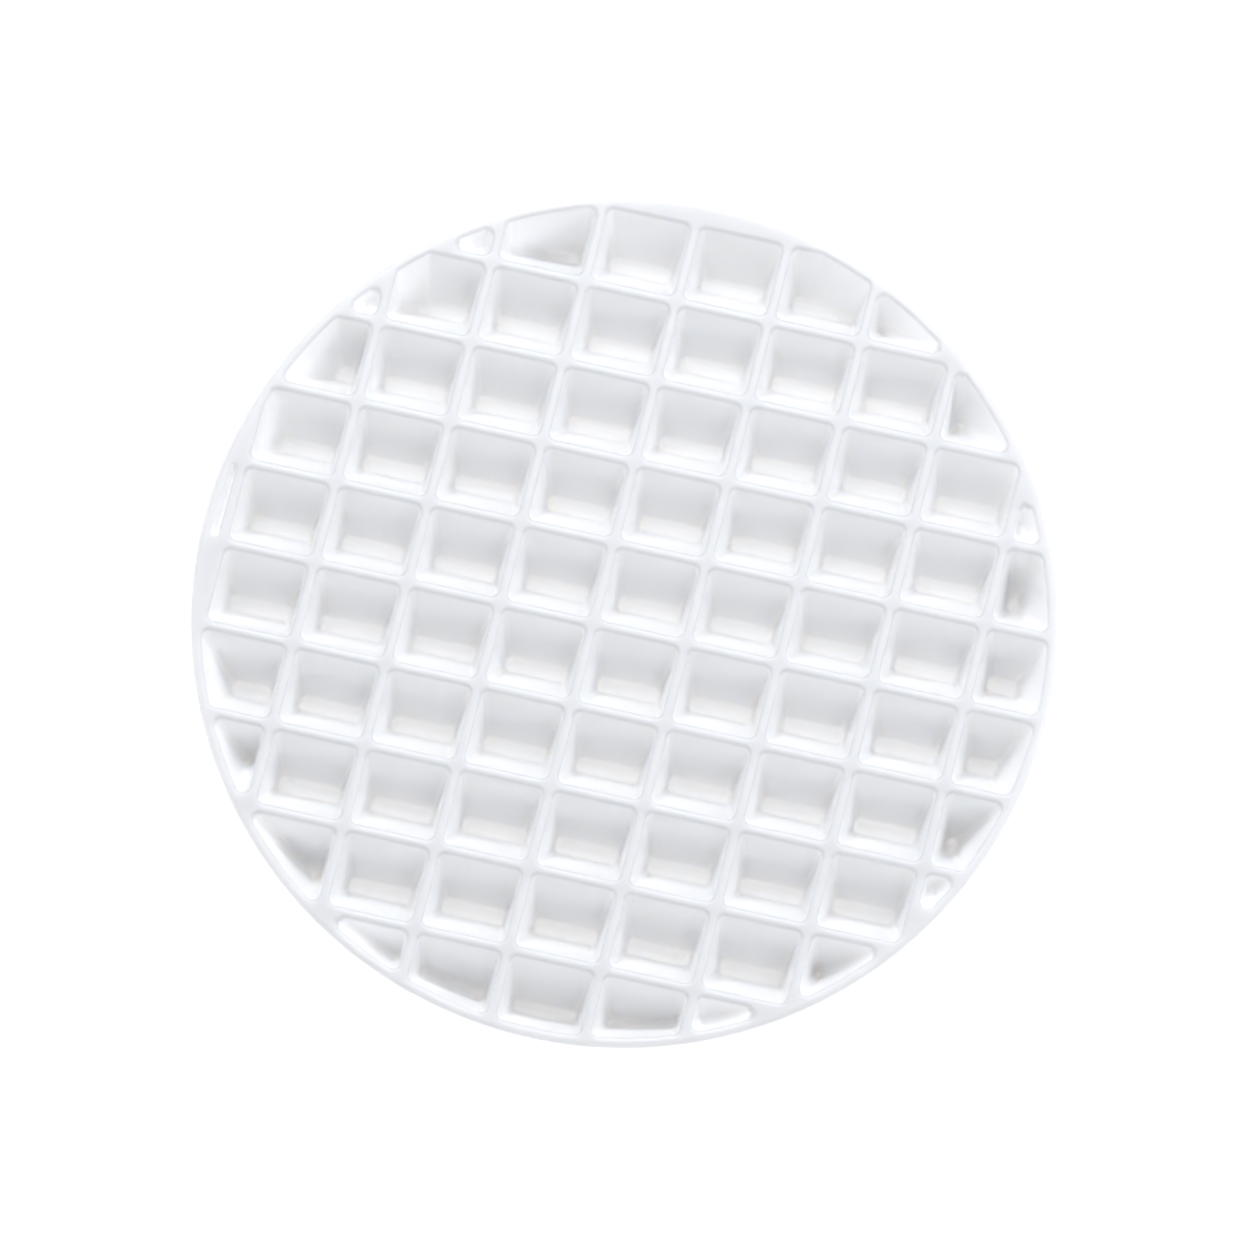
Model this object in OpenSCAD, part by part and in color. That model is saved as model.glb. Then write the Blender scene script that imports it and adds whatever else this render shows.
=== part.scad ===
// Round waffle-grid casting mould: one flexible moulding, modelled region by region.
// Millimetres, +Z up. Origin at the centre of the flat underside, +X along the long ribs.

/* [Disc] */
// Diameter across the rim at its widest
disc_d = 90; // [85:1:96]
// Overall height, from the flat underside to the tops of the ribs
disc_h = 10.8; // [10.4:0.1:12]
// Thickness of the sheet that closes the pockets underneath
sheet_t = 1.5; // [1.2:0.1:1.8]

/* [Rim] */
// Width of the flat top of the rim
rim_top_w = 1.1; // [0.9:0.1:1.6]
// Lean of the outer face, wide at the top
rim_outer_draft = 7; // [3:0.5:9]
// Lean of the face towards the pockets
rim_inner_draft = 16; // [10:0.5:18]
// Rounding of the outer top edge
rim_round = 0.7; // [0.3:0.1:0.8]
// Rounding of the edge round the underside
foot_round = 0.5; // [0.2:0.1:0.8]

/* [Long ribs] */
// Distance from one long rib to the next
long_pitch = 8.8; // [8.6:0.05:9.4]
// Width of a long rib at its top
long_top_w = 0.85; // [0.7:0.05:1.1]
// Draft of its two faces
long_draft = 19; // [15:0.5:19.5]
// How far the rib nearest the centre lies from it
long_shift = -1.2; // [-1.6:0.1:0]
// Ribs on the low side of that one
long_low = 4; // [4:1:4]
// Ribs on its high side
long_high = 5; // [5:1:5]

/* [Cross ribs] */
// Distance from one cross rib to the next, along a long rib
cross_pitch = 9.85; // [9.4:0.05:10]
// Width of a cross rib at its top
cross_top_w = 1.05; // [0.8:0.05:1.3]
// Draft of its two faces
cross_draft = 6.5; // [4:0.5:9]
// How far the rib nearest the centre lies from it
cross_shift = -3.05; // [-3.4:0.05:-2.6]
// Lean of the cross ribs away from square to the long ribs
cross_lean = 1.7; // [0:0.1:2.5]
// Ribs on the low side of the nearest one
cross_low = 4; // [4:1:4]
// Ribs on its high side
cross_high = 4; // [4:1:4]

/* [Hidden] */
$fn = 240;
rubber = [0.95, 0.95, 0.965];
round_steps = 5;              // straight steps that draw a quarter-round edge
over = 1;                     // how far a cutting wedge runs past what it cuts
pocket_h = disc_h - sheet_t;  // depth of a pocket
disc_r = disc_d / 2;
foot_r = disc_r - disc_h * tan(rim_outer_draft);
inner_top_r = disc_r - rim_top_w;
inner_foot_r = inner_top_r - pocket_h * tan(rim_inner_draft);

long_names = [for (i = [0 : long_low + long_high]) str("long_rib_", i < 9 ? "0" : "", i + 1)];
cross_names = [for (i = [0 : cross_low + cross_high]) str("cross_rib_", i < 9 ? "0" : "", i + 1)];

// Radius of the outer face at height z
function face_r(z) = foot_r + z * tan(rim_outer_draft);
// Distance of long rib i from the centre line
function long_y(i) = long_shift + (i - long_low) * long_pitch;
// Where cross rib i meets the centre line
function cross_x(i) = cross_shift + (i - cross_low) * cross_pitch;

// Section of a rib: a wedge h high, seen from its end, with its foot drop lower than z = 0
module wedge(top_w, draft, h, drop = 0, rise = 0) {
    foot = top_w / 2 + (h + drop) * tan(draft);
    tip = top_w / 2 - rise * tan(draft);
    polygon([[-foot, -drop], [foot, -drop], [tip, h + rise], [-tip, h + rise]]);
}

// Straight rib along X, centred, on the sheet; drop and rise lengthen it down and up
module rib_bar(top_w, draft, drop = 0, rise = 0) {
    translate([0, 0, sheet_t])
        rotate([90, 0, 90])
            linear_extrude(disc_d + 2 * over, center = true)
                wedge(top_w, draft, pocket_h, drop, rise);
}

// The space inside the rim, above the sheet
module inside_rim() {
    translate([0, 0, sheet_t])
        cylinder(h = pocket_h, r1 = inner_foot_r, r2 = inner_top_r);
}

// The disc under the pockets, with a rounded edge below
module base_sheet() {
    edge = [for (i = [0 : round_steps])
        let (a = -90 + i * (90 + rim_outer_draft) / round_steps)
        [foot_r - foot_round + foot_round * cos(a), foot_round + foot_round * sin(a)]];
    color(rubber)
        rotate_extrude()
            polygon(concat([[0, 0]], edge, [[face_r(sheet_t), sheet_t], [0, sheet_t]]));
}

// The round wall on the edge of the sheet, with a rounded outer top edge
module rim_wall() {
    lip = [for (i = [0 : round_steps])
        let (a = i * 90 / round_steps)
        [disc_r - rim_round + rim_round * cos(a), disc_h - rim_round + rim_round * sin(a)]];
    color(rubber)
        rotate_extrude()
            polygon(concat(
                [[inner_foot_r, sheet_t], [face_r(sheet_t), sheet_t]],
                lip,
                [[inner_top_r, disc_h]]));
}

// Long rib i, cut to length by the rim
module long_rib(i) {
    color(rubber)
        intersection() {
            translate([0, long_y(i), 0]) rib_bar(long_top_w, long_draft);
            inside_rim();
        }
}

// Cross rib i: the webs between the long ribs, cut to length by the rim
module cross_rib(i) {
    color(rubber)
        difference() {
            intersection() {
                translate([cross_x(i), 0, 0])
                    rotate([0, 0, 90 - cross_lean])
                        rib_bar(cross_top_w, cross_draft);
                inside_rim();
            }
            for (k = [0 : long_low + long_high])
                translate([0, long_y(k), 0])
                    rib_bar(long_top_w, long_draft, over, over);
        }
}

base_sheet();
rim_wall();
for (i = [0 : len(long_names) - 1])
    long_rib(i);
for (i = [0 : len(cross_names) - 1])
    cross_rib(i);
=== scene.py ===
"""Looks of the round waffle-grid casting mould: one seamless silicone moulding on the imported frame."""

import itertools
import math

import bmesh
import bpy
import numpy as np
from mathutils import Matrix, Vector


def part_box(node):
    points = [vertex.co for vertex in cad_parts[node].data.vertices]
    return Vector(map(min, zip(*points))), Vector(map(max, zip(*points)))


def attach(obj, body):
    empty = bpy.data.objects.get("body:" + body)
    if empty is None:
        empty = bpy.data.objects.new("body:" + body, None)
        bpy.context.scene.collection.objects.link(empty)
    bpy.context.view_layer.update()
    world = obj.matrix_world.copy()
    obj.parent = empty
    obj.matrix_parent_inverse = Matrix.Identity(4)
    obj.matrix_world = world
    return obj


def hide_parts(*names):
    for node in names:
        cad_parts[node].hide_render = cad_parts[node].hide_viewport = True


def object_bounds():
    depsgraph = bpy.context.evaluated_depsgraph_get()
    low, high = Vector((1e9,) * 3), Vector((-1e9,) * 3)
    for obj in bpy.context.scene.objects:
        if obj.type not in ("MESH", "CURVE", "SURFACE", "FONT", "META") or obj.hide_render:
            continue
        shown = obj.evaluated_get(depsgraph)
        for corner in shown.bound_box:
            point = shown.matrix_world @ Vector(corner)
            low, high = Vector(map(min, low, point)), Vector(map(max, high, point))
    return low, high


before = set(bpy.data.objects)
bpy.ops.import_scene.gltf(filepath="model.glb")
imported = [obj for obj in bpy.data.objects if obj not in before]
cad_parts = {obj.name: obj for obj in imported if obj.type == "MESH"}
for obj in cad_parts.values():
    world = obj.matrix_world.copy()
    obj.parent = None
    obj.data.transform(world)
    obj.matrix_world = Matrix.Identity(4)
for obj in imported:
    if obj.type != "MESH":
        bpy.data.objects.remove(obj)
cad_low, cad_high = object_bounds()

# ---------------------------------------------------------------- driving sizes, in metres and degrees
MM = 0.001
DISC_R = (cad_high.x - cad_low.x) / 2
DISC_H = cad_high.z
SHEET_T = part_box("base_sheet")[1].z

LONG_TOP_W = 0.85 * MM       # width of a long rib at its top
LONG_DRAFT = 19              # draft of its faces
CROSS_TOP_W = 1.05 * MM      # width of a cross rib at its top
CROSS_DRAFT = 6.5            # draft of its faces
CROSS_PITCH = 9.85 * MM      # from one cross rib to the next
CROSS_SHIFT = -3.05 * MM     # where the fifth cross rib meets the centre line
CROSS_LEAN = 1.7             # lean of the cross ribs away from square
RIM_TOP_W = 1.1 * MM         # flat top of the rim
RIM_INNER_DRAFT = 16         # lean of the rim towards the pockets
RIM_OUTER_DRAFT = 7          # lean of the rim's outer face
RIM_ROUND = 0.7 * MM         # rounding of the outer top edge
FOOT_ROUND = 0.5 * MM        # rounding round the underside

POCKET_FILLET = 0.7 * MM     # inner corners of a pocket
MOUTH_ROUND = 0.5 * MM       # rounding of a rib's top edges

FILLET_STEPS = 4
MOUTH_STEPS = 5
EDGE_STEPS = 8               # points round the outer top edge and the foot
RIM_FACETS = 120             # flat strips that stand for the rim's inner cone
RIM_REACH = 5 * MM           # how far from a cell a strip can still matter to it
TURNS = 240                  # points round the disc
WELD = 0.003                 # in mm: closer points of a pocket become one

# ---------------------------------------------------------------- looks
BODY_COLOUR = (0.97, 0.975, 0.985, 1)
PAINTED_TOP_SHADE_COLOUR = (0.7, 0.705, 0.715, 1)  # painted shade: rib and rim tops get a darker colour so that they don't outshine the walls
GLOW_DEPTH = 2.4 * MM                # how far light spreads inside the rubber
ROUGH_LOW, ROUGH_HIGH = 0.28, 0.42
LAMP_COLOUR = (0.95, 0.967, 1.0)     # slightly cool studio light
LAMP_DISTANCE = 1.0
GRID_TURN = 12.6                     # how far the long ribs are turned from the camera's level


def tan(degrees):
    return math.tan(math.radians(degrees))


# ---------------------------------------------------------------- where the ribs run
def centre_y(node):
    low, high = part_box(node)
    return (low.y + high.y) / 2


long_count = sum(name.startswith("long_rib_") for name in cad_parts)
cross_count = sum(name.startswith("cross_rib_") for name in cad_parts)
long_pitch = centre_y("long_rib_06") - centre_y("long_rib_05")
long_lines = [centre_y("long_rib_05") + (i - 4) * long_pitch for i in range(long_count)]
cross_lines = [CROSS_SHIFT + (i - 4) * CROSS_PITCH for i in range(cross_count)]


# ---------------------------------------------------------------- one pocket as a convex space
def wall(direction, reach, draft):
    """The plane of a pocket wall that faces along direction, with its top edge reach away."""
    normal = np.array([direction[0], direction[1], -tan(draft)])
    length = np.linalg.norm(normal)
    return normal / length, (reach - DISC_H * tan(draft)) / length


def pocket_planes(row, column):
    """The planes round the pocket that lies past long rib row and cross rib column."""
    lean = math.radians(CROSS_LEAN)
    across = (math.cos(lean), -math.sin(lean))
    long_half, cross_half = LONG_TOP_W / 2, CROSS_TOP_W / 2
    planes = [(np.array([0.0, 0.0, -1.0]), -SHEET_T), (np.array([0.0, 0.0, 1.0]), 2 * DISC_H)]
    if row >= 0:
        planes.append(wall((0, -1), -(long_lines[row] + long_half), LONG_DRAFT))
    if row + 1 < long_count:
        planes.append(wall((0, 1), long_lines[row + 1] - long_half, LONG_DRAFT))
    if column >= 0:
        start = cross_lines[column] * across[0] + cross_half
        planes.append(wall((-across[0], -across[1]), -start, CROSS_DRAFT))
    if column + 1 < cross_count:
        end = cross_lines[column + 1] * across[0] - cross_half
        planes.append(wall(across, end, CROSS_DRAFT))
    return planes


def nearest_in_cell(row, column, x, y):
    """The point of a cell that is nearest to (x, y). Cells past the last rib reach the edge of the disc."""
    low_y = long_lines[row] if row >= 0 else -DISC_R
    high_y = long_lines[row + 1] if row + 1 < long_count else DISC_R
    low_x = cross_lines[column] if column >= 0 else -DISC_R
    high_x = cross_lines[column + 1] if column + 1 < cross_count else DISC_R
    return min(max(x, low_x), high_x), min(max(y, low_y), high_y)


def rim_planes(row, column):
    """The flat strips of the rim's inner cone that this pocket can reach."""
    inner_r = DISC_R - RIM_TOP_W
    planes = []
    for i in range(RIM_FACETS):
        angle = 2 * math.pi * i / RIM_FACETS
        strip_x, strip_y = inner_r * math.cos(angle), inner_r * math.sin(angle)
        x, y = nearest_in_cell(row, column, strip_x, strip_y)
        if math.hypot(x - strip_x, y - strip_y) < RIM_REACH:
            planes.append(wall((math.cos(angle), math.sin(angle)), inner_r, RIM_INNER_DRAFT))
    return planes


def corners(planes, shrink):
    """The corners of the space inside planes moved in by shrink, with the planes that meet there."""
    normals = np.array([p[0] for p in planes])
    reach = np.array([p[1] for p in planes]) - shrink
    found = []
    for trio in itertools.combinations(range(len(planes)), 3):
        three = normals[list(trio)]
        if abs(np.linalg.det(three)) < 1e-6:
            continue
        point = np.linalg.solve(three, reach[list(trio)])
        if np.all(normals @ point <= reach + 1e-9):
            found.append((point, three))
    return found


def sphere_patch(three):
    """Directions that cover the piece of a sphere between three normals."""
    n = FILLET_STEPS
    for i in range(n + 1):
        for j in range(n + 1 - i):
            direction = (three[0] * i + three[1] * j + three[2] * (n - i - j))
            yield direction / np.linalg.norm(direction)


def rounded_space(planes, radius):
    """Points and directions of the convex space with every edge rounded to radius."""
    points, directions, seen = [], [], set()
    for point, three in corners(planes, radius):
        for direction in sphere_patch(three):
            place = point + radius * direction
            key = tuple(np.round(place / (0.002 * MM)).astype(int))
            if key not in seen:
                seen.add(key)
                points.append(place)
                directions.append(direction)
    return points, directions


def outside_rim(row, column):
    """Whether the rim's inner face leaves nothing of this pocket."""
    return math.hypot(*nearest_in_cell(row, column, 0, 0)) > DISC_R - RIM_TOP_W


def pocket_surface(row, column):
    """A pocket's walls and floor, open at the mouth, and its mouth's rounding in millimetres.

    A pocket too small for the full roundings gets smaller ones. None where there is no room for one.
    """
    if outside_rim(row, column):
        return None
    planes = pocket_planes(row, column) + rim_planes(row, column)
    for share in (1, 0.5, 0.25):
        mouth = MOUTH_ROUND * share
        points, directions = rounded_space(planes, POCKET_FILLET * share)
        if len(points) > 12 and min(p[2] for p in points) < DISC_H - 3 * MOUTH_ROUND:
            break
    else:
        return None
    mesh = bmesh.new()
    layer = mesh.verts.layers.float_vector.new("facing")
    for place, direction in zip(points, directions):
        mesh.verts.new(place / MM)[layer] = -direction
    bmesh.ops.convex_hull(mesh, input=mesh.verts, use_existing_faces=False)
    loose = [v for v in mesh.verts if not v.link_faces]
    bmesh.ops.delete(mesh, geom=loose, context="VERTS")
    bmesh.ops.recalc_face_normals(mesh, faces=mesh.faces)
    bmesh.ops.bisect_plane(
        mesh,
        geom=mesh.verts[:] + mesh.edges[:] + mesh.faces[:],
        dist=1e-5,
        plane_co=(0, 0, (DISC_H - mouth) / MM),
        plane_no=(0, 0, 1),
        clear_outer=True,
    )
    bmesh.ops.remove_doubles(mesh, verts=mesh.verts, dist=WELD)
    bmesh.ops.dissolve_limit(
        mesh, angle_limit=math.radians(0.1), verts=[], edges=[e for e in mesh.edges if not e.is_boundary]
    )
    bmesh.ops.reverse_faces(mesh, faces=mesh.faces)
    return mesh, mouth / MM


# ---------------------------------------------------------------- the whole skin, built in millimetres
def ordered_rim(mesh):
    """The open edge of a pocket's mesh as one closed round of vertices."""
    start = next(e for e in mesh.edges if e.is_boundary)
    loop = [start.verts[0], start.verts[1]]
    edge = start
    while True:
        edge = next(e for e in loop[-1].link_edges if e.is_boundary and e is not edge)
        following = edge.other_vert(loop[-1])
        if following is loop[0]:
            return loop
        loop.append(following)


class Skin:
    """The growing surface: points with the direction each one faces, and the faces between them."""

    def __init__(self):
        self.mesh = bmesh.new()
        self.facing = self.mesh.verts.layers.float_vector.new("facing")

    def point(self, place, facing):
        vertex = self.mesh.verts.new(place)
        vertex[self.facing] = facing
        return vertex

    def ring(self, places, facings):
        return [self.point(place, facing) for place, facing in zip(places, facings)]

    def bridge(self, ring, following):
        """Quads between two closed rings of the same length."""
        for i in range(len(ring)):
            j = (i + 1) % len(ring)
            self.mesh.faces.new((ring[i], ring[j], following[j], following[i]))

    def add_pocket(self, pocket, radius):
        """Copies a pocket in and rounds its mouth up to the top. Returns the ring on the top."""
        layer = pocket.verts.layers.float_vector["facing"]
        copies = {v: self.point(v.co, v[layer]) for v in pocket.verts}
        for face in pocket.faces:
            self.mesh.faces.new([copies[v] for v in face.verts])
        rim = ordered_rim(pocket)
        up = Vector((0, 0, 1))
        ring = [copies[v] for v in rim]
        facings = [Vector(v[layer]).normalized() for v in rim]
        starts = []
        for vertex, facing in zip(rim, facings):
            slope = (up - facing * facing.z).normalized()
            climb = radius * facing.z / slope.z
            starts.append(vertex.co + slope * climb)
        for step in range(MOUTH_STEPS + 1):
            share = step / MOUTH_STEPS
            turned = [facing.slerp(up, share) for facing in facings]
            places = [
                start + radius * (direction - facing)
                for start, facing, direction in zip(starts, facings, turned)
            ]
            following = self.ring(places, turned)
            self.bridge(ring, following)
            ring = following
        return ring


def outer_profile():
    """Radius, height, and facing (outwards, upwards) from under the middle to the rim's top."""
    disc_r, disc_h = DISC_R / MM, DISC_H / MM
    foot_r = disc_r - disc_h * tan(RIM_OUTER_DRAFT)
    foot, lip = FOOT_ROUND / MM, RIM_ROUND / MM
    profile = [(foot_r * share, 0, 0, -1) for share in (0.3, 0.6, 0.9)]
    for i in range(EDGE_STEPS + 1):
        angle = math.radians(-90 + i * (90 - RIM_OUTER_DRAFT) / EDGE_STEPS)
        outward, upward = math.cos(angle), math.sin(angle)
        profile.append((foot_r - foot + foot * outward, foot + foot * upward, outward, upward))
    for i in range(EDGE_STEPS + 1):
        angle = math.radians(-RIM_OUTER_DRAFT + i * (90 + RIM_OUTER_DRAFT) / EDGE_STEPS)
        outward, upward = math.cos(angle), math.sin(angle)
        profile.append((disc_r - lip + lip * outward, disc_h - lip + lip * upward, outward, upward))
    return profile


def build_skin():
    """The closed surface: outer wall, underside, pockets, and the flat top between their mouths."""
    skin = Skin()
    around = [
        Vector((math.cos(a), math.sin(a), 0)) for a in (2 * math.pi * i / TURNS for i in range(TURNS))
    ]
    up = Vector((0, 0, 1))
    rings = []
    for radius, height, outward, upward in outer_profile():
        places = [out * radius + up * height for out in around]
        rings.append(skin.ring(places, [out * outward + up * upward for out in around]))
    middle = skin.point(Vector((0, 0, 0)), -up)
    for i in range(TURNS):
        skin.mesh.faces.new((rings[0][(i + 1) % TURNS], rings[0][i], middle))
    for ring, following in zip(rings, rings[1:]):
        skin.bridge(ring, following)
    mouths = [rings[-1]]
    for row in range(-1, long_count):
        for column in range(-1, cross_count):
            pocket = pocket_surface(row, column)
            if pocket is not None:
                mouths.append(skin.add_pocket(*pocket))
                pocket[0].free()
    edges = []
    for mouth in mouths:
        for i, vertex in enumerate(mouth):
            edges.append(skin.mesh.edges.get((vertex, mouth[(i + 1) % len(mouth)])))
    bmesh.ops.triangle_fill(skin.mesh, use_beauty=True, use_dissolve=False, edges=edges, normal=up)
    bmesh.ops.recalc_face_normals(skin.mesh, faces=skin.mesh.faces)
    bmesh.ops.scale(skin.mesh, vec=(MM, MM, MM), verts=skin.mesh.verts)
    return skin


def make_moulding():
    skin = build_skin()
    facing = [tuple(Vector(v[skin.facing]).normalized()) for v in skin.mesh.verts]
    data = bpy.data.meshes.new("silicone_moulding")
    skin.mesh.to_mesh(data)
    skin.mesh.free()
    data.shade_smooth()
    data.normals_split_custom_set_from_vertices(facing)
    moulding = bpy.data.objects.new("silicone_moulding", data)
    bpy.context.scene.collection.objects.link(moulding)
    return moulding


# ---------------------------------------------------------------- material
def silicone():
    """White silicone rubber: soft and slightly see-through at its edges, with a satin skin, and painted
    shade on its rib and rim tops.
    """
    material = bpy.data.materials.new("white_silicone")
    material.use_nodes = True
    nodes, links = material.node_tree.nodes, material.node_tree.links
    shader = nodes["Principled BSDF"]
    shader.inputs["IOR"].default_value = 1.41
    shader.inputs["Subsurface Weight"].default_value = 1
    shader.inputs["Subsurface Radius"].default_value = (1.0, 0.95, 0.9)
    shader.inputs["Subsurface Scale"].default_value = GLOW_DEPTH
    where = nodes.new("ShaderNodeTexCoord")
    place = nodes.new("ShaderNodeSeparateXYZ")
    links.new(where.outputs["Object"], place.inputs["Vector"])
    # Painted shade: near the top, where the surface faces upward, the colour turns to the darker top colour
    # so that the rib and rim tops look less lit
    height = nodes.new("ShaderNodeMapRange")
    height.inputs["From Min"].default_value = DISC_H - 1.4 * MOUTH_ROUND
    height.inputs["From Max"].default_value = DISC_H - 0.7 * MOUTH_ROUND
    links.new(place.outputs["Z"], height.inputs["Value"])
    facing = nodes.new("ShaderNodeSeparateXYZ")
    links.new(where.outputs["Normal"], facing.inputs["Vector"])
    level = nodes.new("ShaderNodeMapRange")
    level.inputs["From Min"].default_value = 0.15
    level.inputs["From Max"].default_value = 0.7
    links.new(facing.outputs["Z"], level.inputs["Value"])
    painted_top_shade_mask = nodes.new("ShaderNodeMath")
    painted_top_shade_mask.operation = "MULTIPLY"
    links.new(height.outputs["Result"], painted_top_shade_mask.inputs[0])
    links.new(level.outputs["Result"], painted_top_shade_mask.inputs[1])
    colour = nodes.new("ShaderNodeMix")
    colour.data_type = "RGBA"
    colour.inputs["A"].default_value = BODY_COLOUR
    colour.inputs["B"].default_value = PAINTED_TOP_SHADE_COLOUR
    links.new(painted_top_shade_mask.outputs["Value"], colour.inputs["Factor"])
    links.new(colour.outputs["Result"], shader.inputs["Base Color"])
    cloud = nodes.new("ShaderNodeTexNoise")
    cloud.inputs["Scale"].default_value = 160
    cloud.inputs["Detail"].default_value = 3
    links.new(where.outputs["Object"], cloud.inputs["Vector"])
    rough = nodes.new("ShaderNodeMapRange")
    rough.inputs["To Min"].default_value = ROUGH_LOW
    rough.inputs["To Max"].default_value = ROUGH_HIGH
    links.new(cloud.outputs["Fac"], rough.inputs["Value"])
    links.new(rough.outputs["Result"], shader.inputs["Roughness"])
    grain = nodes.new("ShaderNodeTexNoise")
    grain.inputs["Scale"].default_value = 2500
    grain.inputs["Detail"].default_value = 2
    links.new(where.outputs["Object"], grain.inputs["Vector"])
    bump = nodes.new("ShaderNodeBump")
    bump.inputs["Strength"].default_value = 0.15
    bump.inputs["Distance"].default_value = 0.02 * MM
    links.new(grain.outputs["Fac"], bump.inputs["Height"])
    links.new(bump.outputs["Normal"], shader.inputs["Normal"])
    return material


moulding = make_moulding()
moulding.data.materials.append(silicone())
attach(moulding, "root")
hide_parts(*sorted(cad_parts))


# ---------------------------------------------------------------- floor, light and camera
def make_floor():
    """Plain pale floor."""
    bpy.ops.mesh.primitive_plane_add(size=6)
    floor = bpy.context.object
    floor.name = "floor"
    material = bpy.data.materials.new("pale_floor")
    material.use_nodes = True
    shader = material.node_tree.nodes["Principled BSDF"]
    shader.inputs["Base Color"].default_value = (0.95, 0.95, 0.95, 1)
    shader.inputs["Roughness"].default_value = 0.9
    shader.inputs["Emission Color"].default_value = (1, 1, 1, 1)
    shader.inputs["Emission Strength"].default_value = 0.66
    floor.data.materials.append(material)


def softbox(name, azimuth, elevation, size, watts):
    """A square area light. Azimuth 0 is beyond the moulding as the camera sees it, and 90 to its right."""
    a, e = math.radians(azimuth - GRID_TURN), math.radians(elevation)
    direction = Vector((math.sin(a) * math.cos(e), math.cos(a) * math.cos(e), math.sin(e)))
    data = bpy.data.lights.new(name, "AREA")
    data.size = size
    data.energy = watts
    data.color = LAMP_COLOUR
    light = bpy.data.objects.new(name, data)
    light.location = direction * LAMP_DISTANCE
    light.rotation_euler = direction.to_track_quat("Z", "Y").to_euler()
    bpy.context.scene.collection.objects.link(light)


def make_world(strength):
    world = bpy.data.worlds.new("studio")
    world.use_nodes = True
    world.node_tree.nodes["Background"].inputs["Color"].default_value = (1, 1, 1, 1)
    world.node_tree.nodes["Background"].inputs["Strength"].default_value = strength
    bpy.context.scene.world = world


def make_camera(turn, tilt, distance, width, right, down):
    """A long lens almost straight above, that sees width across. right and down recentre it."""
    t, e = math.radians(turn), math.radians(tilt)
    ahead = Vector((-math.sin(t), math.cos(t), 0))
    look = ahead * math.sin(e) - Vector((0, 0, math.cos(e)))
    side = Vector((math.cos(t), math.sin(t), 0))
    up = side.cross(look)
    data = bpy.data.cameras.new("camera")
    data.sensor_width = 36
    data.lens = data.sensor_width * distance / width
    data.clip_end = 20
    camera = bpy.data.objects.new("camera", data)
    target = Vector((0, 0, DISC_H)) + side * right - up * down
    camera.location = target - look * distance
    camera.rotation_euler = look.to_track_quat("-Z", "Y").to_euler()
    bpy.context.scene.collection.objects.link(camera)
    bpy.context.scene.camera = camera


make_floor()
make_world(0.02)
softbox("key", azimuth=0, elevation=59, size=0.4, watts=8.4)
softbox("right", azimuth=90, elevation=38, size=0.5, watts=4.4)
softbox("left", azimuth=270, elevation=25, size=0.5, watts=2.6)
softbox("front", azimuth=180, elevation=28, size=0.5, watts=2.3)
make_camera(turn=GRID_TURN, tilt=11, distance=1.1, width=129.84 * MM, right=0.27 * MM, down=0.9 * MM)
bpy.context.scene.view_settings.view_transform = "Standard"
